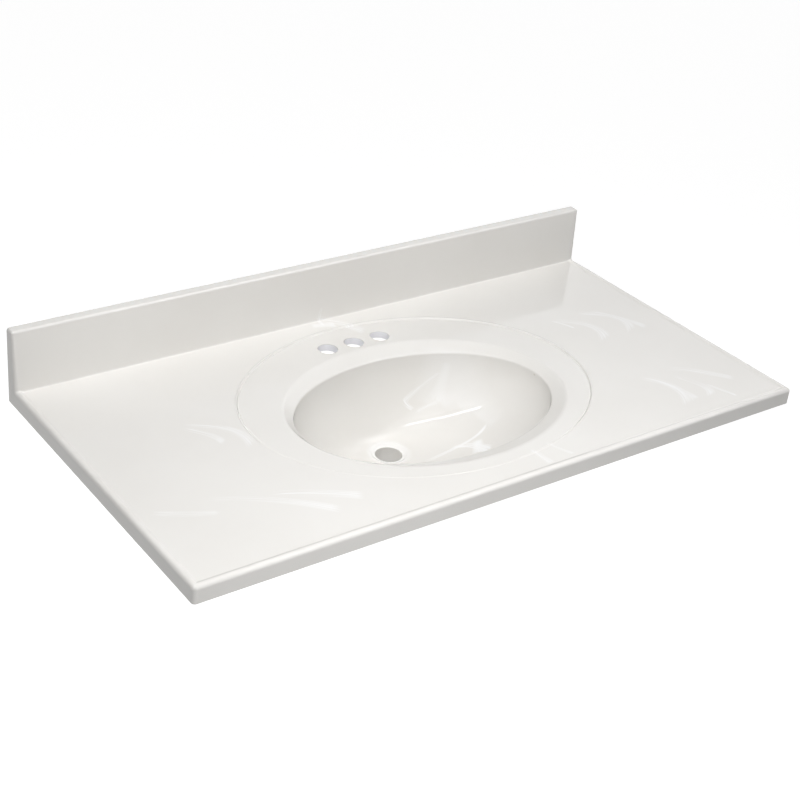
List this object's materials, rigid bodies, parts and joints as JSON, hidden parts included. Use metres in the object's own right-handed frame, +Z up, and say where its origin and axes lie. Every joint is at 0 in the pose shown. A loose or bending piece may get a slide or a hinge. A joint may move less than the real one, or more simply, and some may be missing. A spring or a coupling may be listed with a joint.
{
  "type": "vanity sink top",
  "caption": "Cast vanity top with an oval bowl in a stepped oval ledge, a raised drip edge, a row of tap holes and a low backsplash.",
  "frame": {"origin": "middle of the back edge, where the wall's plane meets the top of the cabinet", "axes": "+X to the right along the wall, +Y into the wall, +Z up; the front edge is at -Y"},
  "size_m": [1.0922, 0.5588, 0.2832],
  "materials": {
    "marble_face": "cast polymer under a clear gel coat, white on white, glossy",
    "duct_plastic": "satin moulded plastic"
  },
  "bodies": {
    "root": {"deck": "marble_face", "bowl": "marble_face", "backsplash": "marble_face", "front_edge": "marble_face", "left_edge": "marble_face", "right_edge": "marble_face", "rear_rail": "marble_face", "overflow_inlet": "duct_plastic", "overflow_duct": "duct_plastic"}
  },
  "joints": []
}
